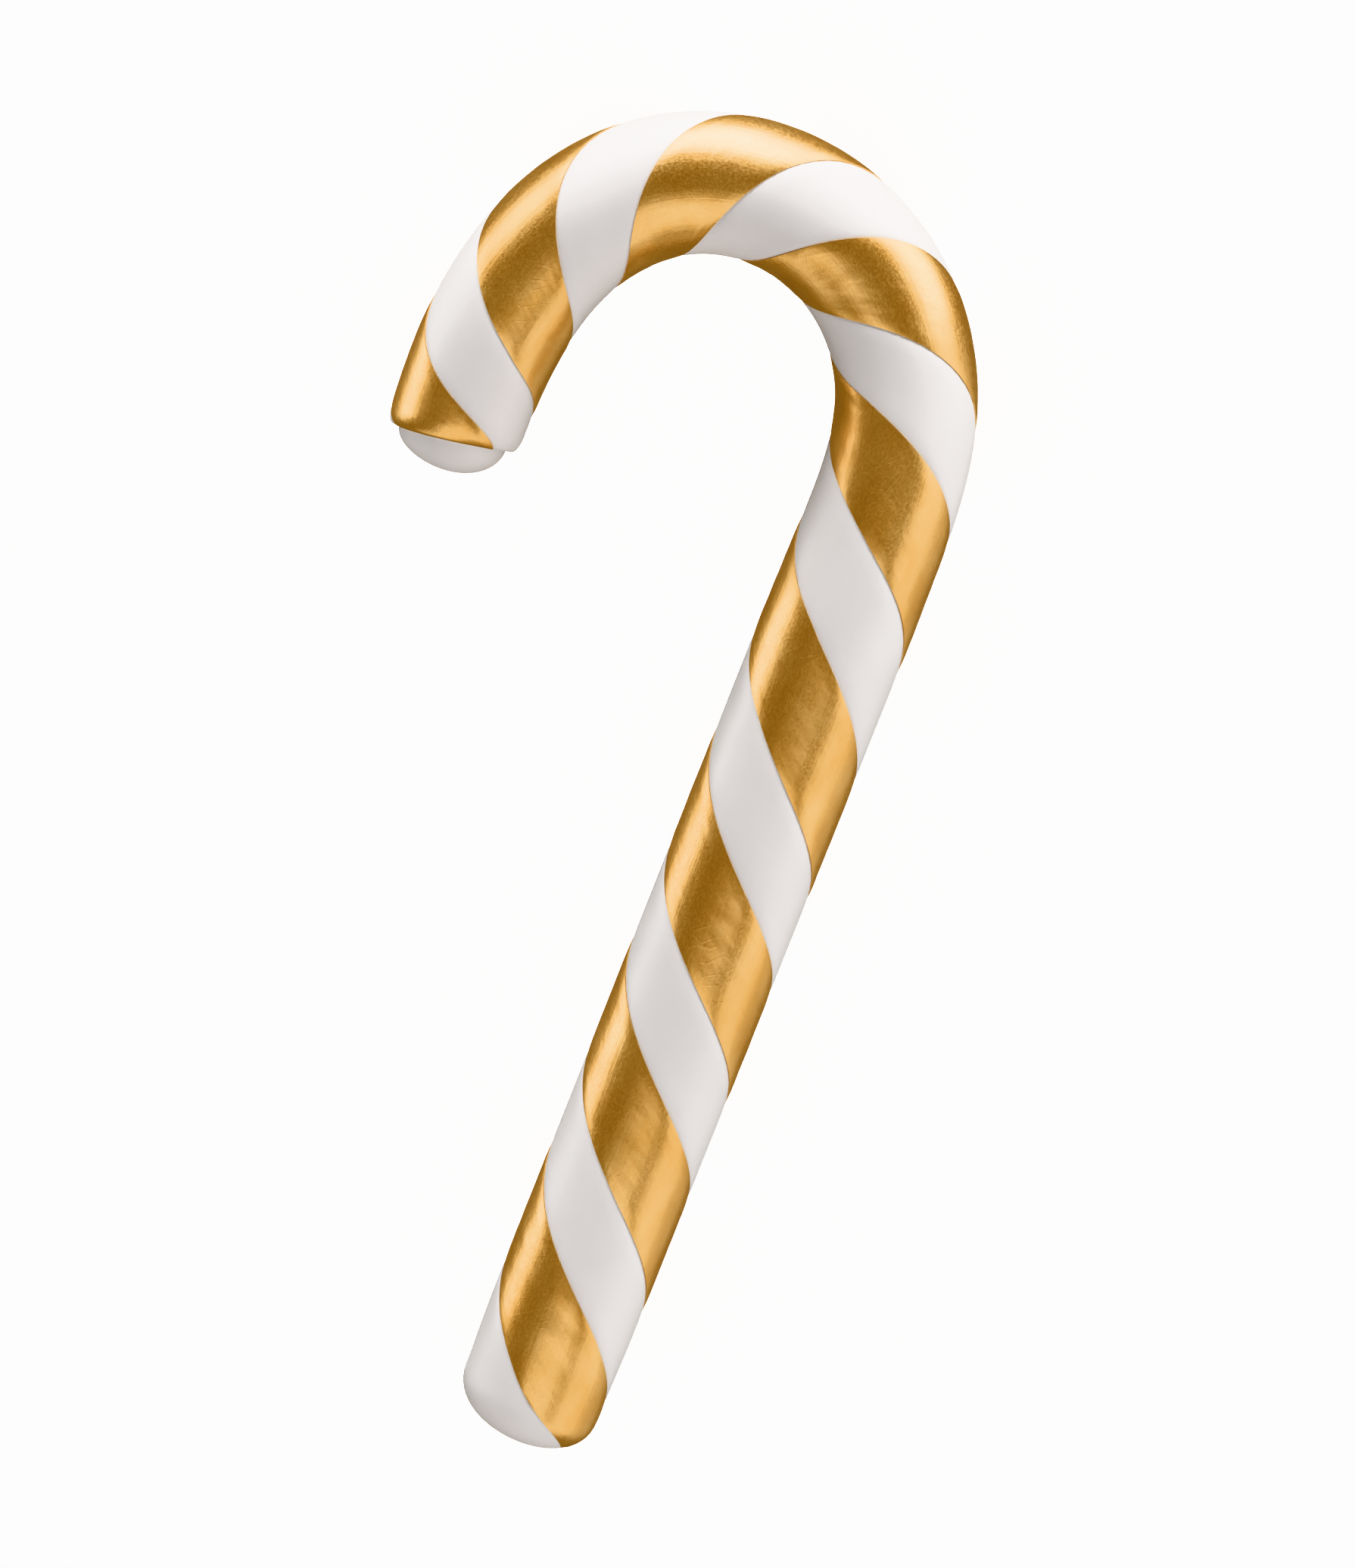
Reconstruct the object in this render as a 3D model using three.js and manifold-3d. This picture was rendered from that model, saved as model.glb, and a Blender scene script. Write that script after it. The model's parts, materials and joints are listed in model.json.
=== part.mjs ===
// A pulled-sugar candy cane with two broad gold strands laid into its white body.
// Millimetres and degrees. The cane lies on a flat surface, its stem along Y, its crook
// curling toward -X, with the origin under the middle of its outline.
import * as THREE from "three";
import { mergeVertices } from "three/addons/utils/BufferGeometryUtils.js";
import Module from "manifold-3d";

// Places along the cane are measured on its centre line, from the foot of the stem.
// The stem is straight. Over each later length the bend tightens or eases evenly from the
// radius before it to its own.
const STEM_LENGTH = 105.0;
const BENDS = [
  { length: 17.8, radius: 24.15 }, // shoulder
  { length: 41.4, radius: 20.4 }, // crown
  { length: 39.3, radius: Infinity }, // easing to the straight tip
];

// Half the thickness of the cane.
const GIRTH = [
  { at: 0, radius: 7.75 }, // foot
  { at: 14, radius: 8.05 },
  { at: 96, radius: 8.05 },
  { at: 124, radius: 7.65 }, // drawn thinner where it bends
  { at: 150, radius: 7.65 },
  { at: 170, radius: 7.75 },
  { at: 188, radius: 7.6 },
  { at: 199.7, radius: 7.3 }, // rim of the tip
];

// One full turn of the strands takes this length of cane. The turns are left-handed.
const PITCH = [
  { at: 0, turn: 50.4 },
  { at: 62, turn: 48.6 },
  { at: 94, turn: 54.0 },
  { at: 120, turn: 46.8 },
  { at: 158, turn: 43.5 },
  { at: 186, turn: 42.6 },
  { at: 204, turn: 35.4 },
];
const FOOT_SWEEP = 45; // the strands sweep this much further round at the very foot
const FOOT_SWEEP_LENGTH = 8;
const LEAN = 0.18; // bending drags the sections over by this slope on the crook
const LEAN_FROM = 85;
const LEAN_TO = 101;

// The round section: a core under a jacket of two gold strands and two white ribs. Angles
// round it run from the top toward the outer side of the crook, and are those at the foot.
const STRANDS = [
  { middle: 91.2, from: 1.9 },
  { middle: 271.2, from: 7.2 },
];
const STRAND_WIDTH = [
  { at: 6, degrees: 99 },
  { at: 26, degrees: 93 },
  { at: 186, degrees: 93 },
  { at: 199.7, degrees: 91 },
];
const STRAND_SINK = 0.12; // the gold lies this much below the white
const JACKET = 1.5; // depth of the channels that hold the gold
const GAP = 0.3; // clearance between gold and white
const EDGE_DROP = 0.22; // strand and rib edges roll down by this much
const WALL_DRAFT = 1.4; // channel walls lean in by this angle

// The rounded foot, and the bare core that domes out beyond the jacket's rim at the tip. A
// power of 2 is an ellipse, more is squarer.
const FOOT = { length: 5.2, power: 2.2 };
const TIP_RIM = 199.7;
const RIM_ROUND = { length: 2.0, drop: 0.75 };
const CORE = { length: 3.6, power: 2, radius: 5.9 };
// Both ends are a little askew: degrees of slope toward the outer side and toward the top.
const FOOT_SLANT = { side: -2.6, top: 0, fade: 9 };
const TIP_SLANT = { side: 5.8, top: -5.9, fade: 14 };
const REST_FLAT = 0.1; // depth of the flats that the cane rests on

// Where sections are drawn: round the foot, every so often along the cane, and as shares of
// the rim's rounding and of the core's dome.
const CAP_PLACES = [0.12, 0.5, 1.05];
const FOOT_PLACES = [1.9, 2.8, 3.9, 5.2, 7.2];
const STATION_STEP = 2.5;
const RIM_SHARES = [0.5, 0.85, 1];
const CORE_SHARES = [0.05, 0.4, 0.67, 0.88];
const CHANNEL_END = { before: 1.3, after: 0.75 }; // a channel's foot end, in gaps before the gold
const ARC_SHARES = [-1, -0.84, -0.52, -0.18, 0.18, 0.52, 0.84, 1]; // across a strand or a rib
const LEAN_REPEATS = 12;

const { clamp, degToRad, lerp, mapLinear, smoothstep } = THREE.MathUtils;

// Straight interpolation of a named value between places along the cane.
function along(places, value, at) {
  const next = places.findIndex((place) => place.at > at);
  if (next === -1) return places[places.length - 1][value];
  if (next === 0) return places[0][value];
  const [low, high] = [places[next - 1], places[next]];
  return mapLinear(at, low.at, high.at, low[value], high[value]);
}

// The angle, in radians, that the strands have turned through between the foot and a place.
function turned(at) {
  let angle = 0;
  for (let i = 0; i + 1 < PITCH.length; i++) {
    const [low, high] = [PITCH[i], PITCH[i + 1]];
    if (i > 0 && at <= low.at) break;
    const change = (high.turn - low.turn) / (high.at - low.at);
    const run = Math.min(at, high.at) - low.at;
    angle += (2 * Math.PI * Math.log1p((change * run) / low.turn)) / change;
  }
  const foot = Math.max(0, 1 - at / FOOT_SWEEP_LENGTH);
  return angle - degToRad(FOOT_SWEEP) * foot * foot;
}

// Curvature is the turn per millimetre: it changes evenly over each bend.
const CURVATURE = [{ at: STEM_LENGTH, bend: 0 }];
for (const { length, radius } of BENDS) {
  const last = CURVATURE[CURVATURE.length - 1];
  CURVATURE.push({ at: last.at + length, bend: 1 / radius });
}

// Points and headings of the centre line, found by walking it in short steps.
const WALK_STEP = 0.1;
const WALK = [{ x: 0, y: 0, heading: Math.PI / 2 }];
for (let at = 0; at < TIP_RIM + CORE.length + WALK_STEP; at += WALK_STEP) {
  const last = WALK[WALK.length - 1];
  const turn = along(CURVATURE, "bend", at + WALK_STEP / 2) * WALK_STEP;
  const middle = last.heading + turn / 2;
  WALK.push({
    x: last.x + Math.cos(middle) * WALK_STEP,
    y: last.y + Math.sin(middle) * WALK_STEP,
    heading: last.heading + turn,
  });
}

// The centre, the forward direction and the outward side direction at a place.
function centre(at) {
  const step = clamp(at / WALK_STEP, 0, WALK.length - 2);
  const [low, high] = [WALK[Math.floor(step)], WALK[Math.floor(step) + 1]];
  const share = step - Math.floor(step);
  const heading = lerp(low.heading, high.heading, share);
  return {
    point: new THREE.Vector3(
      lerp(low.x, high.x, share),
      lerp(low.y, high.y, share),
      along(GIRTH, "radius", at) - REST_FLAT,
    ),
    forward: new THREE.Vector3(Math.cos(heading), Math.sin(heading), 0),
    side: new THREE.Vector3(Math.sin(heading), -Math.cos(heading), 0),
  };
}

// The angle round the section of a line of sugar that started at the given angle at the
// foot. The lean makes it depend on itself, so it is found by repetition.
function roundAngle(startAngle, at) {
  const lean = LEAN * clamp((at - LEAN_FROM) / (LEAN_TO - LEAN_FROM), 0, 1);
  const reach = lean * along(GIRTH, "radius", at);
  let angle = startAngle - turned(at);
  for (let i = 0; i < LEAN_REPEATS; i++) angle = startAngle - turned(at - reach * Math.sin(angle));
  return angle;
}

// A dome's radius, as a share of that at its base, at a share of its height.
function bulge(rise, power) {
  return (1 - rise ** power) ** (1 / power);
}

// Where a point lies: its place along the centre line and its radius. Both change on the ends.
function placed(at, depth) {
  const radius = along(GIRTH, "radius", at) - depth;
  if (at < FOOT.length) {
    const rise = 1 - at / FOOT.length;
    return { at: FOOT.length - (FOOT.length - depth) * rise, radius: radius * bulge(rise, FOOT.power) };
  }
  if (at > TIP_RIM) {
    return { at, radius: CORE.radius * bulge((at - TIP_RIM) / CORE.length, CORE.power) };
  }
  return { at, radius };
}

// How far forward the slope of the ends carries a point that lies across and above the centre.
function askew(at, across, above) {
  const shift = ({ side, top }) => Math.tan(degToRad(side)) * across + Math.tan(degToRad(top)) * above;
  const foot = 1 - smoothstep(at, FOOT.length, FOOT.length + FOOT_SLANT.fade);
  const dome = 1 - clamp((at - TIP_RIM) / CORE.length, 0, 1);
  const tip = smoothstep(at, TIP_RIM - TIP_SLANT.fade, TIP_RIM) * dome;
  return foot * shift(FOOT_SLANT) + tip * shift(TIP_SLANT);
}

// A point at a place along the cane, a starting angle and a depth below the surface.
function surfacePoint(at, startAngle, depth) {
  const angle = roundAngle(startAngle, at);
  const on = placed(at, depth);
  const [across, above] = [on.radius * Math.sin(angle), on.radius * Math.cos(angle)];
  const { point, forward, side } = centre(on.at);
  point.z += above;
  return point.addScaledVector(side, across).addScaledVector(forward, askew(at, across, above));
}

// How far the surface rolls down at a share of the way across a strand or rib, and at the rim.
function rollDown(share, at) {
  const rim = clamp(1 - (TIP_RIM - at) / RIM_ROUND.length, 0, 1);
  return EDGE_DROP * share ** 8 + RIM_ROUND.drop * (1 - Math.sqrt(1 - rim * rim));
}

// Places of the jacket's sections from a strand's foot end to the rim, which its neighbours share.
function jacketPlaces(from) {
  const foot = FOOT_PLACES.filter((at) => at >= from);
  const first = foot[foot.length - 1];
  const last = TIP_RIM - RIM_ROUND.length;
  const steps = Math.round((last - first) / STATION_STEP);
  const even = Array.from({ length: steps }, (_, i) => lerp(first, last, (i + 1) / steps));
  const rim = RIM_SHARES.map((share) => lerp(last, TIP_RIM, share));
  return [...foot, ...even, ...rim];
}

// Joins rings of equally many points into side faces that look outward. Each four-sided face
// is split along its shorter diagonal, which keeps it closest to the round surface.
function ringFaces(rings) {
  const count = rings[0].length;
  const points = rings.flat();
  const faces = [];
  for (let start = 0; start + count < points.length; start += count) {
    for (let i = 0; i < count; i++) {
      const [a, b] = [start + i, start + ((i + 1) % count)];
      const [c, d] = [b + count, a + count];
      const rising = points[a].distanceTo(points[c]) < points[b].distanceTo(points[d]);
      faces.push(...(rising ? [a, b, c, a, c, d] : [a, b, d, b, c, d]));
    }
  }
  return faces;
}

function geometryOf(points, faces) {
  const geometry = new THREE.BufferGeometry();
  const values = points.flatMap((point) => point.toArray());
  geometry.setAttribute("position", new THREE.Float32BufferAttribute(values, 3));
  geometry.setIndex(faces);
  return geometry;
}

// Half of the widths that a strand, a rib and a channel's floor have at a place, in radians.
function halfArcs(at) {
  const strand = degToRad(along(STRAND_WIDTH, "degrees", at) / 2);
  const halfGap = GAP / 2 / GIRTH[1].radius;
  const draft = degToRad(WALL_DRAFT);
  return {
    strand: strand - halfGap,
    strandBack: strand - halfGap - draft,
    rib: Math.PI / 2 - strand - halfGap,
    floor: strand + halfGap - draft,
  };
}

// The white body: round each ring lie a channel's floor and a rib, for each strand. Below a
// strand's foot end its channel is filled to the surface. The core makes a dome at the tip.
function whiteSugar() {
  const channelEnds = STRANDS.flatMap(({ from }) =>
    Object.values(CHANNEL_END).map((gaps) => from - gaps * GAP));
  const corePlaces = CORE_SHARES.map((share) => TIP_RIM + CORE.length * share);
  const places = [...CAP_PLACES, ...channelEnds, ...jacketPlaces(0), ...corePlaces];
  places.sort((a, b) => a - b);
  const rings = places.map((at) =>
    STRANDS.flatMap(({ middle, from }) => {
      const start = degToRad(middle);
      const { floor, rib } = halfArcs(at);
      const filled = at < from - GAP;
      return [
        ...ARC_SHARES.map((share) =>
          surfacePoint(at, start + share * floor, filled ? rollDown(share, at) : JACKET)),
        ...ARC_SHARES.map((share) =>
          surfacePoint(at, start + Math.PI / 2 + share * rib, rollDown(share, at))),
      ];
    }),
  );
  const points = rings.flat();
  const faces = ringFaces(rings);
  const [footEnd, tipEnd] = [points.length, points.length + 1];
  points.push(centre(0).point, centre(TIP_RIM + CORE.length).point);
  const count = rings[0].length;
  const last = (rings.length - 1) * count;
  for (let i = 0; i < count; i++) {
    const next = (i + 1) % count;
    faces.push(footEnd, next, i, tipEnd, last + i, last + next);
  }
  return geometryOf(points, faces);
}

// A gold strand: a thick curved strip that fills its channel but for the gap all round.
function goldStrand({ middle, from }) {
  const start = degToRad(middle);
  const rings = jacketPlaces(from).map((at) => {
    const { strand, strandBack } = halfArcs(at);
    return [
      ...ARC_SHARES.map((share) =>
        surfacePoint(at, start + share * strand, STRAND_SINK + rollDown(share, at))),
      ...ARC_SHARES.map((share) => surfacePoint(at, start - share * strandBack, JACKET - GAP)),
    ];
  });
  const faces = ringFaces(rings);
  const count = rings[0].length;
  const last = (rings.length - 1) * count;
  for (let i = 0; i + 1 < ARC_SHARES.length; i++) {
    const [a, b, c, d] = [i, i + 1, count - 2 - i, count - 1 - i];
    faces.push(a, c, b, a, d, c);
    faces.push(last + a, last + b, last + c, last + a, last + c, last + d);
  }
  return geometryOf(rings.flat(), faces);
}

const wasm = await Module();
wasm.setup();

function solidOf(geometry) {
  const merged = mergeVertices(geometry, 1e-4);
  const mesh = new wasm.Mesh({
    numProp: 3,
    vertProperties: merged.attributes.position.array,
    triVerts: new Uint32Array(merged.index.array),
  });
  return new wasm.Manifold(mesh);
}

// Takes away what lies below the resting plane, so that the round underside has narrow flats.
function cutFlats(geometry) {
  const block = new THREE.BoxGeometry(300, 400, 10).translate(0, 0, -5);
  block.deleteAttribute("normal").deleteAttribute("uv");
  const mesh = solidOf(geometry).subtract(solidOf(block)).getMesh();
  const cut = new THREE.BufferGeometry();
  cut.setAttribute("position", new THREE.Float32BufferAttribute(mesh.vertProperties, 3));
  cut.setIndex([...mesh.triVerts]);
  return cut;
}

const sugar = new THREE.MeshStandardMaterial({ color: 0xf1efee, roughness: 0.35, metalness: 0 });
const goldLeaf = new THREE.MeshStandardMaterial({ color: 0xd9a24a, roughness: 0.35, metalness: 1 });

function named(name, geometry, material) {
  const mesh = new THREE.Mesh(geometry, material);
  mesh.name = name;
  return mesh;
}

const cane = new THREE.Group();
cane.add(named("white_sugar", cutFlats(whiteSugar()), sugar));
STRANDS.forEach((strand, i) => {
  cane.add(named(`gold_strand_${i + 1}`, goldStrand(strand), goldLeaf));
});

// Centre the outline over the origin.
const middle = new THREE.Box3().setFromObject(cane).getCenter(new THREE.Vector3());
cane.position.set(-middle.x, -middle.y, 0);

export default cane;
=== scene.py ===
# %% [markdown]
# # A candy cane with gold stripes
#
# This lesson builds a thick sugar cane. White strands and two gilded ones were laid side by
# side in one fat rope, twisted while warm, and bent to a crook. The cane could be modelled
# along its bent line at once, but we follow the sweet maker: a straight rod first, then the
# twist, then the bend. Each step is simple that way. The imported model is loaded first. It is
# the fixed frame that every piece has to fit.

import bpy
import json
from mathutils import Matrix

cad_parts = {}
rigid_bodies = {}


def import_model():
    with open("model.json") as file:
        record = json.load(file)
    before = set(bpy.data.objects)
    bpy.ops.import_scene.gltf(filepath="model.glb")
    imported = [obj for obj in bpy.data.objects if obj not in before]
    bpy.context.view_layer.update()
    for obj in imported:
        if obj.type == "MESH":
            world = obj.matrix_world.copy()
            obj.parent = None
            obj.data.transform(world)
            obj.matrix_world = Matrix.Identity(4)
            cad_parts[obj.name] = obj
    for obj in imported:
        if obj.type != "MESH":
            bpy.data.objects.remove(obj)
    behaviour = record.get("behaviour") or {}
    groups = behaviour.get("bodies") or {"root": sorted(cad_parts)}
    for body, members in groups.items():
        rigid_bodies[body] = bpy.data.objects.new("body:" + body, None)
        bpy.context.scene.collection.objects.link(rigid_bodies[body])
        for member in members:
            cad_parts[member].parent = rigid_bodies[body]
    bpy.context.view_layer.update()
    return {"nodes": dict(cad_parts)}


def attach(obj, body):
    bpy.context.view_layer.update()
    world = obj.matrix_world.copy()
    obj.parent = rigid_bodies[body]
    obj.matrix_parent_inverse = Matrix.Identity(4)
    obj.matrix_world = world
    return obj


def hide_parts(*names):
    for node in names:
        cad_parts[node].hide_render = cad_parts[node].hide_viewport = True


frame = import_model()

# %% [markdown]
# ## Sizes
#
# All sizes are in millimetres and places are measured along the cane's centre line from the
# foot. They are the same driving sizes as those of the solid model, so that the pieces made
# here lie exactly where its solids lie.

# %% Driving sizes of the cane
import json
import math

import bpy
import numpy as np
from mathutils import Matrix, Vector

MM = 0.001  # Blender works in metres

STEM_LENGTH = 105.0
BENDS = [(17.8, 24.15), (41.4, 20.4), (39.3, math.inf)]  # (length, radius at its end)
GIRTH = [(0, 7.75), (14, 8.05), (96, 8.05), (124, 7.65), (150, 7.65), (170, 7.75),
         (188, 7.6), (199.7, 7.3)]  # half the thickness
TURN = [(0, 50.4), (62, 48.6), (94, 54.0), (120, 46.8), (158, 43.5), (186, 42.6),
        (204, 35.4)]  # length of cane for one turn of the strands
FOOT_SWEEP, FOOT_SWEEP_LENGTH = 45, 8
LEAN = [(85, 0), (101, 0.18)]  # the crook's sections are dragged over by this slope
FIRST_MIDDLE = 91.2  # the first gold strand's middle at the foot, in degrees from the top
STRAND_STARTS = (1.9, 7.2)  # where the leaf of each gold strand starts
FOOT_LENGTH, FOOT_POWER = 5.2, 2.2
RIM, RIM_LENGTH, RIM_DROP = 199.7, 2.0, 0.75
CORE_LENGTH, CORE_RADIUS = 3.6, 5.9
END = RIM + CORE_LENGTH
END_EASE = 14  # what is done to the tip fades in over this length
FOOT_SLOPE = math.tan(math.radians(-2.6))
TIP_SLOPES = math.tan(math.radians(5.8)), math.tan(math.radians(-5.9))
REST_FLAT = 0.1  # the cane settles this far into the flats that it rests on


def along(places, at):
    """The value at a place, read straight between (place, value) pairs."""
    return float(np.interp(at, *zip(*places)))


def smooth(at, low, high):
    """Rises softly from 0 at low to 1 at high."""
    share = min(max((at - low) / (high - low), 0), 1)
    return share * share * (3 - 2 * share)


def turned(at):
    """The angle in radians that the strands have turned through from the foot to a place."""
    angle = 0
    for (low, turn), (high, next_turn) in zip(TURN, TURN[1:]):
        if at > low or low == 0:
            change = (next_turn - turn) / (high - low)
            angle += 2 * math.pi * math.log1p(change * (min(at, high) - low) / turn) / change
    return angle - math.radians(FOOT_SWEEP) * max(0, 1 - at / FOOT_SWEEP_LENGTH) ** 2


print("turns from end to end:", round(turned(END) / (2 * math.pi), 2))

# %% [markdown]
# ## Small helpers
#
# An operator acts on all that is selected, so each step starts by selecting one piece and
# nothing else. Inside a piece, vertices, edges and faces are picked by where they are.

# %% Selecting by place
NEAR = 0.01  # places closer than this count as the same


def select_only(piece):
    if bpy.context.mode != "OBJECT":
        bpy.ops.object.mode_set(mode="OBJECT")
    bpy.ops.object.select_all(action="DESELECT")
    piece.select_set(True)
    bpy.context.view_layer.objects.active = piece


def places_of(piece):
    """The piece's vertices in millimetres."""
    places = np.zeros(len(piece.data.vertices) * 3)
    piece.data.vertices.foreach_get("co", places)
    return places.reshape(-1, 3) / MM


def edit(piece, kind, chosen):
    """Opens edit mode with the vertices, edges or faces of that number selected."""
    select_only(piece)
    bpy.ops.object.mode_set(mode="EDIT")
    bpy.ops.mesh.select_mode(type=kind)
    bpy.ops.mesh.select_all(action="DESELECT")
    bpy.ops.object.mode_set(mode="OBJECT")
    parts = {"VERT": piece.data.vertices, "EDGE": piece.data.edges, "FACE": piece.data.polygons}
    parts[kind].foreach_set("select", np.asarray(chosen, bool))
    bpy.ops.object.mode_set(mode="EDIT")


def done():
    bpy.ops.object.mode_set(mode="OBJECT")


def edge_ends(piece):
    """How far along the rod the two ends of every edge are."""
    ends = np.zeros(len(piece.data.edges) * 2, int)
    piece.data.edges.foreach_get("vertices", ends)
    return places_of(piece)[ends, 0].reshape(-1, 2)


def face_middles(piece):
    middles = np.zeros(len(piece.data.polygons) * 3)
    piece.data.polygons.foreach_get("center", middles)
    return middles.reshape(-1, 3) / MM


def round_angle(places):
    """The angle round the straight rod in degrees, from the top toward -Y."""
    return np.degrees(np.arctan2(-places[:, 1], places[:, 2]))


# %% [markdown]
# ## The straight rod
#
# The rod starts as a cylinder without caps, lying along X, with a column of vertices every
# 1.5 degrees. In this straight, untwisted state the gold strands are simply two straight
# bands, one along the top and one underneath, so all the shaping is done here.

# %% Add the rod and mark its gold faces
ROD_RADIUS = 8.05
COLUMNS = 240
STRAND_WIDTH = 93  # degrees
EVEN_FROM, EVEN_TO = 26, 186  # between these places the strands have that width

bpy.ops.object.select_all(action="DESELECT")
bpy.ops.mesh.primitive_cylinder_add(
    vertices=COLUMNS, radius=ROD_RADIUS * MM, depth=(EVEN_TO - EVEN_FROM) * MM,
    end_fill_type="NOTHING", location=((EVEN_FROM + EVEN_TO) / 2 * MM, 0, 0),
    rotation=(0, math.pi / 2, 0))
rod = bpy.context.object
rod.name = "white_sugar_body"
bpy.ops.object.transform_apply(location=True, rotation=True, scale=True)

sugar_finish = bpy.data.materials.new("satin pulled sugar")
gold_finish = bpy.data.materials.new("edible gold leaf")
rod.data.materials.append(sugar_finish)
rod.data.materials.append(gold_finish)


def from_strand_middle(places):
    """Degrees from the middle of the nearer gold strand, which lies at 0 or at 180."""
    return (round_angle(places) + 90) % 180 - 90


is_gold = np.abs(from_strand_middle(face_middles(rod))) < STRAND_WIDTH / 2
rod.data.polygons.foreach_set("material_index", is_gold.astype(np.int32))
print("faces round the rod:", len(is_gold), "of which gold:", int(is_gold.sum()))

# %% [markdown]
# ## The grooves between strands
#
# Where two strands of warm sugar meet, each one rolls down to a shallow groove. Grooves could
# be cut out, but the columns of vertices are there already: those on and beside each meeting
# line are picked and drawn in toward the axis, most at the line and ever less beside it. The
# gilded strands roll down less than the white ones.

# %% Draw in the columns beside each meeting line
COLUMN_ANGLE = 360 / COLUMNS
ON_COLUMN = COLUMN_ANGLE / 4  # closer to a column than this is on it
LINE_DEPTH = 0.19
GROOVE = {  # depth, column by column away from the line
    "white": [0.135, 0.096, 0.069, 0.049, 0.034, 0.023, 0.015, 0.008],
    "gold": [0.075, 0.055, 0.040, 0.028, 0.018, 0.010],
}


def draw_in(chosen, depth):
    edit(rod, "VERT", chosen)
    share = 1 - depth / ROD_RADIUS
    bpy.ops.transform.resize(value=(1, share, share), center_override=(0, 0, 0))
    done()


beyond_line = np.abs(from_strand_middle(places_of(rod))) - STRAND_WIDTH / 2
draw_in(np.abs(beyond_line) < ON_COLUMN, LINE_DEPTH)
for strand, side in (("white", 1), ("gold", -1)):
    for step, depth in enumerate(GROOVE[strand], 1):
        draw_in(np.abs(side * beyond_line - step * COLUMN_ANGLE) < ON_COLUMN, depth)
print("groove depths in mm:", LINE_DEPTH, GROOVE)

# %% [markdown]
# ## The rounded foot
#
# The foot is a low dome. A half ball could be joined on, but drawing out the open end keeps
# the strands running on to the dome's top: the end ring is extruded, moved and scaled to the
# next width, again and again. The grooves fade out where the dome starts. The gold strands
# are a little wider at the foot, so on the first new ring the meeting lines are turned
# apart, and soft editing carries the strands' columns along.

# %% Helpers for rings
SOFT_REACH = 6.2  # soft editing fades to nothing at this distance


def ring_at(piece, at):
    return np.abs(places_of(piece)[:, 0] - at) < NEAR


def extrude_ring(step, scale, at):
    """Draws the selected ring out by a step along X and scales it about the axis."""
    bpy.ops.mesh.extrude_region_move(TRANSFORM_OT_translate={"value": (step * MM, 0, 0)})
    bpy.ops.transform.resize(value=(1, scale, scale), center_override=(at * MM, 0, 0))


def widen_strands(piece, at, degrees):
    """Turns the meeting lines on one ring apart by that much on each side of the gold."""
    angles = from_strand_middle(places_of(piece))
    for side in (1, -1):
        line = np.abs(angles - side * STRAND_WIDTH / 2) < ON_COLUMN
        edit(piece, "VERT", line & ring_at(piece, at))
        bpy.ops.transform.rotate(
            value=math.radians(-side * degrees), orient_axis="X", center_override=(at * MM, 0, 0),
            use_proportional_edit=True, proportional_edit_falloff="LINEAR",
            proportional_size=SOFT_REACH * MM)
        done()


# %% Extrude the foot's dome
FOOT_WIDENING = 3  # degrees
FOOT_ANGLES = range(0, 88, 6)  # the dome's rings, in degrees up from its base


def foot_radius(rise):
    """The dome's radius, as a share of that at its base, at a share of its height."""
    return (1 - rise ** FOOT_POWER) ** (1 / FOOT_POWER)


edit(rod, "VERT", ring_at(rod, EVEN_FROM))
extrude_ring(STRAND_STARTS[1] - EVEN_FROM, 1, 0)
done()
widen_strands(rod, STRAND_STARTS[1], FOOT_WIDENING)

foot_rises = {1 - STRAND_STARTS[0] / FOOT_LENGTH}  # one ring lies where the leaf starts
foot_rises |= {math.sin(math.radians(angle)) ** (2 / FOOT_POWER) for angle in FOOT_ANGLES}
edit(rod, "VERT", ring_at(rod, STRAND_STARTS[1]))
at, width = STRAND_STARTS[1], 1
for rise in sorted(foot_rises):
    next_at, next_width = FOOT_LENGTH * (1 - rise), foot_radius(rise)
    extrude_ring(next_at - at, next_width / width, next_at)
    if rise == 0:
        bpy.ops.transform.tosphere(value=1)  # makes the ring round
    at, width = next_at, next_width
bpy.ops.mesh.extrude_region_move(TRANSFORM_OT_translate={"value": (-at * MM, 0, 0)})
bpy.ops.mesh.merge(type="CENTER")
done()
print("rod after the foot:", len(rod.data.vertices), "vertices")

# %% [markdown]
# ## The tip
#
# At the tip the striped jacket ends in a soft rim, and the bare white core swells out of it
# as a low dome. The core could be a piece of its own, but it is the same sugar as the ribs.
# So it is drawn out in the same way: along to the rim, round its edge, in to the core, and
# over the dome to a point. The core is round, and no groove runs on over it.

# %% Extrude the rim and the core's dome
TIP_WIDENING = -0.85  # degrees
RIM_ANGLES = range(15, 91, 15)  # the rings round the rim's edge, in degrees
CORE_ANGLES = [1, 4, 9, *range(16, 88, 8)]  # the dome's rings, in degrees up from its base
RIM_SCALE = GIRTH[-1][1] / ROD_RADIUS  # the rod is drawn this much thinner there later on

edit(rod, "VERT", ring_at(rod, EVEN_TO))
extrude_ring(RIM - RIM_LENGTH - EVEN_TO, 1, 0)
done()
widen_strands(rod, RIM - RIM_LENGTH, TIP_WIDENING)

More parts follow.
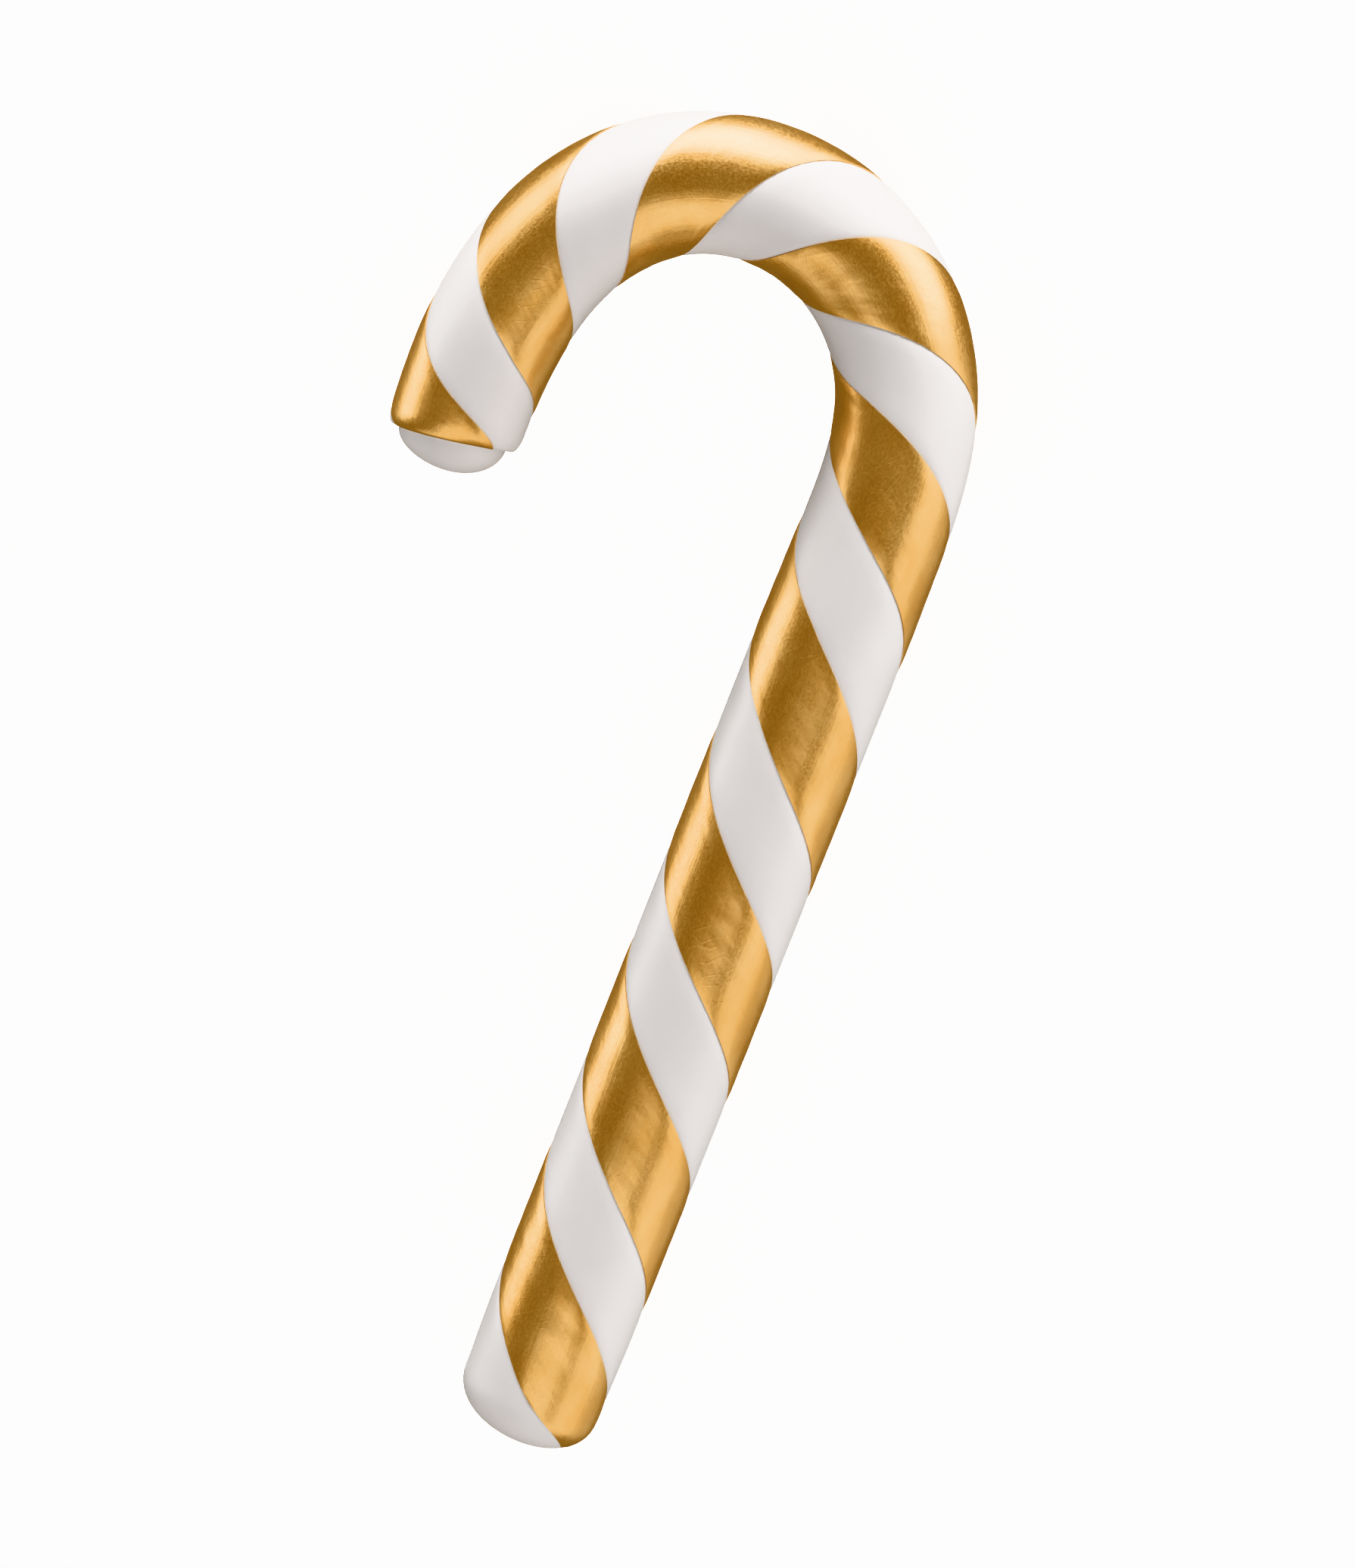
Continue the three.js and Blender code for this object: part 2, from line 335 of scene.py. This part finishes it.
edit(rod, "VERT", ring_at(rod, RIM - RIM_LENGTH))
at, radius = RIM - RIM_LENGTH, ROD_RADIUS
rim_rings = [(RIM - RIM_LENGTH * (1 - math.sin(angle)),
              ROD_RADIUS - RIM_DROP / RIM_SCALE * (1 - math.cos(angle)))
             for angle in np.radians(RIM_ANGLES)]
core_rings = [(RIM + CORE_LENGTH * math.sin(angle), CORE_RADIUS / RIM_SCALE * math.cos(angle))
              for angle in np.radians(CORE_ANGLES)]
for next_at, next_radius in rim_rings + core_rings:
    extrude_ring(next_at - at, next_radius / radius, next_at)
    at, radius = next_at, next_radius
    if (next_at, next_radius) == core_rings[0]:
        bpy.ops.transform.tosphere(value=1)  # makes the ring round
bpy.ops.mesh.extrude_region_move(TRANSFORM_OT_translate={"value": ((END - at) * MM, 0, 0)})
bpy.ops.mesh.merge(type="CENTER")
bpy.ops.mesh.select_all(action="SELECT")
bpy.ops.mesh.normals_make_consistent(inside=False)
done()
print("rod after the tip:", len(rod.data.vertices), "vertices, ends at",
      round(places_of(rod)[:, 0].max(), 2), "mm")

# %% [markdown]
# ## Cutting it lengthwise
#
# The long sides are still single faces, far too long to twist or bend. Only the edges that
# run along the rod are picked and subdivided, so the rings between them come out evenly.

# %% Subdivide the long edges
SHORTEST_CUT = 0.1  # edges that run along the rod for less than this stay whole
CUTS = [(FOOT_LENGTH, STRAND_STARTS[1], 1), (STRAND_STARTS[1], EVEN_FROM, 18),
        (EVEN_FROM, EVEN_TO, 15), (EVEN_FROM, EVEN_TO, 9), (EVEN_TO, RIM - RIM_LENGTH, 11)]


def cut_lengthwise(piece, low, high, cuts):
    ends = edge_ends(piece)
    inside = (ends.min(1) > low - NEAR) & (ends.max(1) < high + NEAR)
    edit(piece, "EDGE", inside & (np.ptp(ends, axis=1) > SHORTEST_CUT))
    bpy.ops.mesh.subdivide(number_cuts=cuts)
    done()


for low, high, cuts in CUTS:
    cut_lengthwise(rod, low, high, cuts)
print("rod after the cuts:", len(rod.data.vertices), "vertices")

# %% [markdown]
# ## The gold strands
#
# The gold is beaten leaf laid on two of the four strands. Gold paint on the rod's own faces
# would be less work, but leaf has an edge of its own that catches the light. So the rod is
# copied, everything but the gold faces is deleted from the copy, and the two bands that are
# left are separated.

# %% Copy and separate the gold bands
def under_leaf(piece):
    """Gold faces between a strand's own foot end and the rim."""
    finishes = np.zeros(len(piece.data.polygons), np.int32)
    piece.data.polygons.foreach_get("material_index", finishes)
    middles = face_middles(piece)
    start = np.where(middles[:, 2] > 0, *STRAND_STARTS)
    return (finishes == 1) & (middles[:, 0] > start) & (middles[:, 0] < RIM)


select_only(rod)
bpy.ops.object.duplicate()
leaf = bpy.context.object
edit(leaf, "FACE", ~under_leaf(leaf))
bpy.ops.mesh.delete(type="FACE")
bpy.ops.mesh.select_all(action="SELECT")
bpy.ops.mesh.separate(type="LOOSE")
done()
leaves = sorted(bpy.context.selected_objects, key=lambda piece: -places_of(piece)[:, 2].mean())
for number, piece in enumerate(leaves, 1):
    piece.name = f"gold_leaf_{number}"
    print(piece.name, "starts at", places_of(piece)[:, 0].min().round(2), "mm")

# %% [markdown]
# ## The leaf's edges
#
# Leaf is stiff enough to bridge the narrow bottom of a groove, so its edges lie higher than
# the meeting line. They are the open edges that run along the rod, beyond the foot's dome,
# and they are picked by that and lifted. The leaf also gets twice as many rings, because
# its crinkles need them. Under the leaf the rod's faces are sunk a little and turned back to
# white, as the sugar that carries it.

# %% Lift the leaf's edges
LEAF_EDGE = 0.10  # the leaf's edge lies no deeper than this


def edit_long_borders(piece):
    """Opens edit mode with the leaf's open edges in the grooves selected."""
    edit(piece, "EDGE", [False] * len(piece.data.edges))
    bpy.ops.mesh.select_non_manifold()
    done()
    is_open = np.zeros(len(piece.data.edges), bool)
    piece.data.edges.foreach_get("select", is_open)
    ends = edge_ends(piece)
    in_groove = (np.ptp(ends, axis=1) > NEAR) & (ends.min(1) > FOOT_LENGTH + NEAR)
    edit(piece, "EDGE", is_open & in_groove)


lift = (ROD_RADIUS - LEAF_EDGE) / (ROD_RADIUS - LINE_DEPTH)
for piece in leaves:
    edit_long_borders(piece)
    bpy.ops.transform.resize(value=(1, lift, lift), center_override=(0, 0, 0))
    done()
    cut_lengthwise(piece, 0, RIM, 1)
    print(piece.name, len(piece.data.polygons), "faces")

# %% Sink the sugar under the leaf
LEAF_SEAT = 0.12  # the sugar under the leaf lies this much deeper

edit(rod, "FACE", under_leaf(rod))
bpy.ops.mesh.select_less()
bpy.ops.transform.shrink_fatten(value=-LEAF_SEAT * MM)
done()
rod.data.polygons.foreach_set("material_index", np.zeros(len(rod.data.polygons), np.int32))
pieces = [rod, *leaves]

# %% [markdown]
# ## Crinkles in the leaf
#
# Beaten leaf is far thinner than paper. It never lies quite smooth, but shows soft dents
# from the sugar and the brush, and finer crinkles. The finish could fake them as bumps, but
# real dents bend the reflections as they should. Displace modifiers push the leaf in and
# out by a clouds pattern, while it is still straight, so that the marks are twisted and bent
# along with it. The leaf is laid a hair above the sugar first.

# %% Dent and crinkle the leaf
LEAF_RISE = 0.05  # the leaf lies this far above the sugar's own surface
MARKS = {"dents": (3.2, 0.07), "crinkles": (0.9, 0.022)}  # each with its size and height

for piece in leaves:
    edit(piece, "FACE", [True] * len(piece.data.polygons))
    bpy.ops.transform.shrink_fatten(value=LEAF_RISE * MM)
    done()
    for name, (size, height) in MARKS.items():
        clouds = bpy.data.textures.new(name, "CLOUDS")
        clouds.noise_scale = size * MM
        select_only(piece)
        modifier = piece.modifiers.new(name, "DISPLACE")
        modifier.texture, modifier.texture_coords = clouds, "LOCAL"
        modifier.strength, modifier.mid_level = height * MM, 0.5
        bpy.ops.object.modifier_apply(modifier=name)
        bpy.data.textures.remove(clouds)

# %% [markdown]
# ## Cages and guides
#
# Two modifiers do all the bending from here on. A Lattice is a cage: where its points are
# moved, what it holds goes along, and here it slopes the rod's sections. A Curve modifier
# carries the rod along a guide curve, whose points can also tilt and widen it. A cage or a
# guide is deleted once it has done its work.

# %% Helpers for cages and guides
CAGE = 10  # half a cage's thickness
CAGE_STEP = 1
MOST_POINTS = 64  # a cage can't have more along one side


def deform(piece, kind, guide):
    select_only(piece)
    modifier = piece.modifiers.new(guide.name, kind)
    modifier.object = guide
    bpy.ops.object.modifier_apply(modifier=modifier.name)


def slope_sections(name, low, high, slopes):
    """Moves sections forward by slopes(at), per millimetre toward the outer side and the top."""
    bpy.ops.object.add(type="LATTICE", location=((low + high) / 2 * MM, 0, 0))
    cage = bpy.context.object
    cage.name = name
    cage.scale = ((high - low) * MM, 2 * CAGE * MM, 2 * CAGE * MM)
    sections = round((high - low) / CAGE_STEP) + 1
    cage.data.points_u = min(sections, MOST_POINTS)
    cage.data.points_v = cage.data.points_w = 2
    cage.data.interpolation_type_u = "KEY_LINEAR"
    cage.data.interpolation_type_v = cage.data.interpolation_type_w = "KEY_LINEAR"
    for point in cage.data.points:
        outer, top = slopes((low + high) / 2 + point.co.x * (high - low))
        forward = -outer * point.co.y * 2 * CAGE + top * point.co.z * 2 * CAGE
        point.co_deform.x += forward / (high - low)
    for piece in pieces:
        deform(piece, "LATTICE", cage)
    bpy.data.objects.remove(cage)


def guide_curve(name, points, tilts, radii):
    curve = bpy.data.curves.new(name, "CURVE")
    curve.dimensions, curve.twist_mode = "3D", "Z_UP"
    curve.use_radius, curve.use_stretch, curve.use_deform_bounds = True, False, False
    line = curve.splines.new("POLY")
    line.points.add(len(points) - 1)
    for point, place, tilt, radius in zip(line.points, points, tilts, radii):
        point.co = (*(Vector(place) * MM), 1)
        point.tilt, point.radius = tilt, radius
    guide = bpy.data.objects.new(name, curve)
    bpy.context.scene.collection.objects.link(guide)
    return guide


# %% [markdown]
# ## The twist
#
# A straight guide whose points tilt more and more is a twist that can tighten along the way,
# which the Simple Deform modifier can't do. The guide's radius draws the cane thinner on the
# crook. On the crook the sections will lean, and the lean would carry the finished rim along,
# so the rim is first sloped the other way.

# %% Twist along a straight guide
GUIDE_STEP = 0.5
GUIDE_SPARE = 3  # the guides go on for this far beyond the tip


def twist_at(at):
    """How far the rod is turned there, in radians."""
    return math.radians(FIRST_MIDDLE) - turned(at)


def before_the_lean(at):
    back = -along(LEAN, at) * smooth(at, RIM - END_EASE, RIM)
    return back * math.cos(twist_at(at)), back * math.sin(twist_at(at))


slope_sections("rim_cage", RIM - END_EASE - 1, END + 1, before_the_lean)
stations = np.arange(0, END + GUIDE_SPARE, GUIDE_STEP)
twist = guide_curve("twist", [(at, 0, 0) for at in stations], [twist_at(at) for at in stations],
                    [along(GIRTH, at) / ROD_RADIUS for at in stations])
for piece in pieces:
    deform(piece, "CURVE", twist)
print("twisted along", len(stations), "points, to", round(math.degrees(twist_at(END))), "degrees")

# %% [markdown]
# ## A map of the twisted rod
#
# The marks of drawing and brushing run along the rod, not along the twisted strands. Plain
# object coordinates would let them run straight through the bend. So now that the rod is
# twisted but still straight, every vertex notes where it lies. The finishes read that note
# later, and their patterns follow the bend.

# %% Note each vertex's place on the straight rod
for piece in pieces:
    note = piece.data.attributes.new("straight", "FLOAT_VECTOR", "POINT")
    note.data.foreach_set("vector", places_of(piece).astype(np.float32).ravel())

# %% [markdown]
# ## Sections that lean
#
# Bending drags the sugar: on the crook every section leans forward on the outer side. The
# two ends were also cut a little askew. Cages slope the sections, and the strands follow.
# Each cage reaches a little beyond what it slopes.

# %% Slope the sections
FOOT_EASE = 9  # the foot's slope fades out over this length


def lean_slopes(at):
    return along(LEAN, at), 0


def foot_slopes(at):
    return FOOT_SLOPE * (1 - smooth(at, FOOT_LENGTH, FOOT_LENGTH + FOOT_EASE)), 0


def tip_slopes(at):
    share = smooth(at, RIM - END_EASE, RIM) * (1 - min(max((at - RIM) / CORE_LENGTH, 0), 1))
    return [share * slope for slope in TIP_SLOPES]


slope_sections("lean_cage", LEAN[0][0], END + 5, lean_slopes)
slope_sections("foot_cage", -1, 15, foot_slopes)
slope_sections("tip_cage", RIM - END_EASE - 3, END + 1, tip_slopes)
print("slopes on the crook:", LEAN[-1][1], "at the foot:", round(FOOT_SLOPE, 3))

# %% [markdown]
# ## The bend
#
# Last the twisted rod is laid along the cane's own line: straight up the stem, then tighter
# and tighter over the crown, and easing out to the tip. Simple Deform bends by one radius
# only, so a guide curve is used again. Its line is walked in short steps. It starts where
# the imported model's foot is, and lies as high as the cane is thick there.

# %% Bend along the centre line
bends = [(STEM_LENGTH, 0)]
for length, radius in BENDS:
    bends.append((bends[-1][0] + length, 1 / radius))

foot = min((vertex.co / MM for vertex in frame["nodes"]["white_sugar"].data.vertices),
           key=lambda place: place.y)
x, y, heading = foot.x, foot.y, math.pi / 2
line = []
for at in stations:
    line.append((x, y, along(GIRTH, at) - REST_FLAT))
    turn = along(bends, at + GUIDE_STEP / 2) * GUIDE_STEP
    x += math.cos(heading + turn / 2) * GUIDE_STEP
    y += math.sin(heading + turn / 2) * GUIDE_STEP
    heading += turn
bend = guide_curve("bend", line, [0] * len(line), [1] * len(line))
for piece in pieces:
    deform(piece, "CURVE", bend)
for guide in (twist, bend):
    bpy.data.objects.remove(guide)
print("foot at", [round(value, 2) for value in foot],
      "tip at", [round(value, 2) for value in line[-1]])

# %% [markdown]
# ## Settling on the table
#
# A warm cane flattens slightly where it touches the table. Everything that hangs below the
# table's height is picked and pressed flat. A cut would open the mesh, and this leaves it
# closed.

# %% Press the underside flat
for piece in pieces:
    edit(piece, "VERT", places_of(piece)[:, 2] < 0)
    bpy.ops.transform.resize(value=(1, 1, 0), center_override=(0, 0, 0))
    done()
    print(piece.name, "has", int((places_of(piece)[:, 2] < NEAR).sum()), "vertices on the table")

# %% [markdown]
# ## Thickness for the leaf
#
# So far each strand of leaf is a surface without thickness. Solidify gives it a back that
# reaches into the sugar, so that no gap shows at its edges and it is one closed body. Then
# the faces are shaded smooth, but for the leaf's own edge, which is sharper than the limit.

# %% Thicken the leaf and smooth the shading
LEAF_DEPTH = 0.3
SHARP_FROM = math.radians(40)

for piece in leaves:
    select_only(piece)
    modifier = piece.modifiers.new("depth", "SOLIDIFY")
    modifier.thickness, modifier.offset = LEAF_DEPTH * MM, -1
    bpy.ops.object.modifier_apply(modifier=modifier.name)

for piece in pieces:
    piece.data.materials.clear()
    piece.data.materials.append(sugar_finish if piece is rod else gold_finish)
    select_only(piece)
    bpy.ops.object.shade_smooth_by_angle(angle=SHARP_FROM)
    print(piece.name, len(piece.data.polygons), "faces")

# %% [markdown]
# ## Building a finish
#
# A finish is a small tree of shader nodes. The helpers below add a node with its values and
# its incoming links in one line. Every pattern reads the note of the straight rod, measured
# in millimetres, so it runs along the rod and follows its bend. Clicking the nodes together
# by hand gives the same, but here each finish can be read in a few lines.

# %% Helpers for finishes
def add_node(tree, kind, inputs=(), **settings):
    node = tree.nodes.new(kind)
    for name, value in settings.items():
        setattr(node, name, value)
    for name, value in dict(inputs).items():
        if isinstance(value, bpy.types.NodeSocket):
            tree.links.new(value, node.inputs[name])
        else:
            node.inputs[name].default_value = value
    return node


def start_finish(material):
    """An empty tree and the straight rod's coordinates in it."""
    material.use_nodes = True
    tree = material.node_tree
    tree.nodes.clear()
    note = add_node(tree, "ShaderNodeAttribute", attribute_name="straight")
    return tree, note.outputs["Vector"]


def drawn_out(tree, coordinates, stretch, turn=0):
    """The coordinates turned by degrees about Z and then drawn out by stretch."""
    turned_map = add_node(tree, "ShaderNodeMapping", {
        "Vector": coordinates, "Rotation": (0, 0, math.radians(turn))})
    return add_node(tree, "ShaderNodeMapping", {
        "Vector": turned_map.outputs["Vector"],
        "Scale": [1 / value for value in stretch]}).outputs["Vector"]


def pattern(tree, coordinates, size, stretch=(1, 1, 1), detail=2, distortion=0.0):
    """Noise of that size in millimetres."""
    return add_node(tree, "ShaderNodeTexNoise", {
        "Vector": drawn_out(tree, coordinates, stretch), "Scale": 1 / size, "Detail": detail,
        "Distortion": distortion}).outputs["Fac"]


def creases(tree, coordinates, size, width, stretch, turn):
    """A net of thin lines between cells of that size in millimetres, 1 on the lines."""
    coordinates = drawn_out(tree, coordinates, stretch, turn)
    bent = add_node(tree, "ShaderNodeTexNoise", {"Vector": coordinates, "Scale": 1 / size})
    mixed = add_node(tree, "ShaderNodeVectorMath", {
        0: coordinates, 1: bent.outputs["Color"]}, operation="ADD")
    cells = add_node(tree, "ShaderNodeTexVoronoi", {
        "Vector": mixed.outputs["Vector"], "Scale": 1 / size}, feature="DISTANCE_TO_EDGE")
    return between(tree, cells.outputs["Distance"], 1, 0, 0, width / size)


def masked(tree, value, mask):
    return add_node(tree, "ShaderNodeMath", {0: value, 1: mask},
                    operation="MULTIPLY").outputs["Value"]


def blend(tree, factor, first, second):
    """A colour between two colours."""
    ramp = add_node(tree, "ShaderNodeValToRGB", {"Fac": factor})
    for element, (position, colour) in zip(ramp.color_ramp.elements, (first, second)):
        element.position, element.color = position, (*colour, 1)
    return ramp.outputs["Color"]


def between(tree, value, low, high, from_low=0.35, from_high=0.65):
    """Goes from low to high while the value goes from from_low to from_high."""
    return add_node(tree, "ShaderNodeMapRange", {
        "Value": value, "From Min": from_low, "From Max": from_high,
        "To Min": low, "To Max": high}).outputs["Result"]


def relief(tree, heights):
    """Bumps one over another, each of a (pattern, height in millimetres) pair."""
    normal = None
    for height_map, height in heights:
        inputs = {"Height": height_map, "Strength": 1, "Distance": height * MM}
        if normal:
            inputs["Normal"] = normal
        normal = add_node(tree, "ShaderNodeBump", inputs).outputs["Normal"]
    return normal


def surface(tree, inputs):
    shader = add_node(tree, "ShaderNodeBsdfPrincipled", inputs)
    add_node(tree, "ShaderNodeOutputMaterial", {"Surface": shader.outputs["BSDF"]})


# %% [markdown]
# ## Satin sugar
#
# Pulled sugar is white because it is full of fine air channels, drawn out by the pulling.
# They give it a silky sheen. A plain white would look like plaster, so the finish lets some
# light in under the surface, and its gloss and relief vary in faint streaks along the rod.

# %% Sugar finish
tree, place = start_finish(sugar_finish)
streaks = pattern(tree, place, 1.1, stretch=(14, 1, 1), detail=3)
cloudy = pattern(tree, place, 9, detail=1)
surface(tree, {
    "Base Color": blend(tree, cloudy, (0.4, (0.83, 0.81, 0.805)), (0.6, (0.85, 0.83, 0.825))),
    "Roughness": between(tree, streaks, 0.36, 0.46),
    "Subsurface Weight": 0.12, "Subsurface Radius": (1, 0.9, 0.85), "Subsurface Scale": 1.2 * MM,
    "Normal": relief(tree, [(streaks, 0.02)])})
print(sugar_finish.name, "has", len(tree.nodes), "nodes")

# %% [markdown]
# ## Gold leaf
#
# The leaf is real gold, so the finish is a metal whose colour varies only a little, in soft
# patches. The brush leaves a satin surface: fine grain everywhere, streaks along the rod, and
# here and there a net of fine creases where the leaf was stretched. These are far finer than
# the mesh, so they are relief in the finish.

# %% Gold finish
tree, place = start_finish(gold_finish)
grain = pattern(tree, place, 0.25, detail=2)
streaks = pattern(tree, place, 0.4, stretch=(14, 1, 1), detail=4, distortion=0.2)
patches = pattern(tree, place, 3.5, stretch=(2, 1, 1), detail=4)
here_and_there = between(tree, pattern(tree, place, 7), 0, 1, 0.5, 0.65)
lines = creases(tree, place, 1.8, 0.09, stretch=(1, 2.5, 1), turn=-35)
lines = masked(tree, lines, here_and_there)
surface(tree, {
    "Base Color": blend(tree, patches, (0.35, (0.88, 0.59, 0.27)), (0.65, (0.96, 0.695, 0.36))),
    "Metallic": 1,
    "Roughness": between(tree, grain, 0.30, 0.40),
    "Normal": relief(tree, [(grain, 0.006), (streaks, 0.018), (lines, 0.006)])})
print(gold_finish.name, "has", len(tree.nodes), "nodes")

# %% [markdown]
# ## The table
#
# The floor is a plain pale table top. It glows, as a white backdrop does that is lit from
# below, so that it stays even and pale round the cane. That glow would also light the cane's
# underside and whiten the gold's edges. So the cane neither mirrors the table nor takes
# light from it, and softboxes that stand lower than the table still reach the cane.

# %% Table
TABLE_SIZE = 6  # metres

bpy.ops.mesh.primitive_plane_add(size=TABLE_SIZE, location=(0, 0, 0))
table = bpy.context.object
table.name = "table"
table_finish = bpy.data.materials.new("pale table")
tree, _ = start_finish(table_finish)
surface(tree, {"Base Color": (0.4, 0.4, 0.4, 1), "Roughness": 0.8,
               "Emission Color": (1, 1, 1, 1), "Emission Strength": 2.2})
table.data.materials.append(table_finish)
table.visible_glossy = False
table.visible_diffuse = False
table.visible_shadow = False
print("table:", TABLE_SIZE, "m wide")

# %% [markdown]
# ## Studio light
#
# Metal shows what stands round it, so the gold gets its bright and dark bands from where the
# softboxes stand: two bright ones low behind the crook, smaller ones to both sides, a large
# dim one up in front, and some low ones that edge the cane. What stays empty overhead leaves
# the dark band. A panorama of a studio could do the same, but with softboxes it is plain
# where each reflection comes from. Each is given by its direction, its width and height as
# seen from the cane, and its brightness.

# %% Softboxes
LIGHT_DISTANCE = 0.8
SOFTBOXES = {  # compass direction, height above the table, width and height (degrees), glow
    "back right": (66, 6, 54, 44, 2.9),
    "back left": (114, 6, 42, 44, 4.6),
    "left": (154, 6, 36, 36, 1.5),
    "left strip": (187, -4, 26, 28, 2.15),
    "front": (284, 50, 52, 50, 0.67),
    "front low": (262, 14, 48, 26, 0.5),
    "right": (345, 16, 66, 44, 0.6),
    "right back": (25, 16, 36, 48, 0.7),
    "right low": (350, -24, 64, 34, 0.26),
}


def add_softbox(name, compass, rise, width, height, glow):
    """A panel that shines at the cane from that direction, as wide and high as stated."""
    compass, rise = math.radians(compass), math.radians(rise)
    way = Vector((math.cos(compass) * math.cos(rise), math.sin(compass) * math.cos(rise),
                  math.sin(rise)))
    lamp = bpy.data.lights.new(name, "AREA")
    lamp.shape = "RECTANGLE"
    lamp.size, lamp.size_y = (2 * LIGHT_DISTANCE * math.tan(math.radians(angle / 2))
                              for angle in (width, height))
    lamp.energy = glow * math.pi * lamp.size * lamp.size_y
    box = bpy.data.objects.new(name, lamp)
    box.location = way * LIGHT_DISTANCE
    box.rotation_euler = way.to_track_quat("Z", "Y").to_euler()
    box.visible_camera = False
    bpy.context.scene.collection.objects.link(box)
    return box


for name, values in SOFTBOXES.items():
    add_softbox(name, *values)
print("softboxes:", len(SOFTBOXES))

# %% [markdown]
# ## Walls and fill
#
# The metal also mirrors the dim, warm walls of the studio: they give the gold its brown
# shades. The white sugar would turn brown in their light, so it gets a soft overhead fill
# instead, which the gold does not mirror.

# %% Walls and fill light
WALL_COLOUR, WALL_GLOW = (1, 0.79, 0.48, 1), 0.23
FILL = (278, 48, 80, 80, 0.6)  # in the same order as the softboxes
FILL_COLOUR = (1, 0.96, 0.94)

world = bpy.data.worlds.new("studio")
bpy.context.scene.world = world
world.use_nodes = True
walls = world.node_tree.nodes["Background"]
walls.inputs["Color"].default_value = WALL_COLOUR
walls.inputs["Strength"].default_value = WALL_GLOW
world.cycles_visibility.diffuse = False

fill = add_softbox("fill", *FILL)
fill.data.color = FILL_COLOUR
fill.visible_glossy = False
print("walls glow by", WALL_GLOW, "and the fill by", FILL[-1])

# %% [markdown]
# ## Camera
#
# The camera looks almost straight down on the lying cane, with the crook to the upper left.
# It is set by a tilt, a roll and a distance from the point that it looks at. A long lens
# from a metre away keeps the cane free of strong perspective.

# %% Camera
TILT, ROLL, DISTANCE = math.radians(9.5), math.radians(21.62), 1000
IMAGE_HEIGHT, FOCAL_LENGTH = 2072, 12190  # pixels
TARGET_FROM_FOOT, TARGET_HEIGHT = (-9.68, 74.11), 7.9

target = Vector((foot.x + TARGET_FROM_FOOT[0], foot.y + TARGET_FROM_FOOT[1], TARGET_HEIGHT)) * MM
backward = Vector((0, math.sin(TILT), math.cos(TILT)))
level_up = Vector((0, math.cos(TILT), -math.sin(TILT)))
to_right = Vector((math.cos(ROLL), 0, 0)) + level_up * math.sin(ROLL)
lens = bpy.data.cameras.new("camera")
lens.sensor_fit = "VERTICAL"
lens.lens = lens.sensor_height * FOCAL_LENGTH / IMAGE_HEIGHT
camera = bpy.data.objects.new("camera", lens)
turn = Matrix((to_right, backward.cross(to_right), backward)).transposed()
camera.matrix_world = Matrix.Translation(target + backward * DISTANCE * MM) @ turn.to_4x4()
bpy.context.scene.collection.objects.link(camera)
bpy.context.scene.camera = camera
bpy.context.scene.view_settings.view_transform = "Khronos PBR Neutral"
bpy.context.scene.view_settings.look = "High Contrast"
print("lens:", round(lens.lens), "mm")

# %% [markdown]
# ## Handing over
#
# Every piece rides on the one body and takes the place of its solid, which is hidden.

# %% Hand over the pieces
PLACES = {"white_sugar_body": ("white_sugar", "sugar"),
          "gold_leaf_1": ("gold_strand_1", "gold_leaf"),
          "gold_leaf_2": ("gold_strand_2", "gold_leaf")}

for piece in pieces:
    node, slot = PLACES[piece.name]
    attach(piece, "root")
    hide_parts(node)
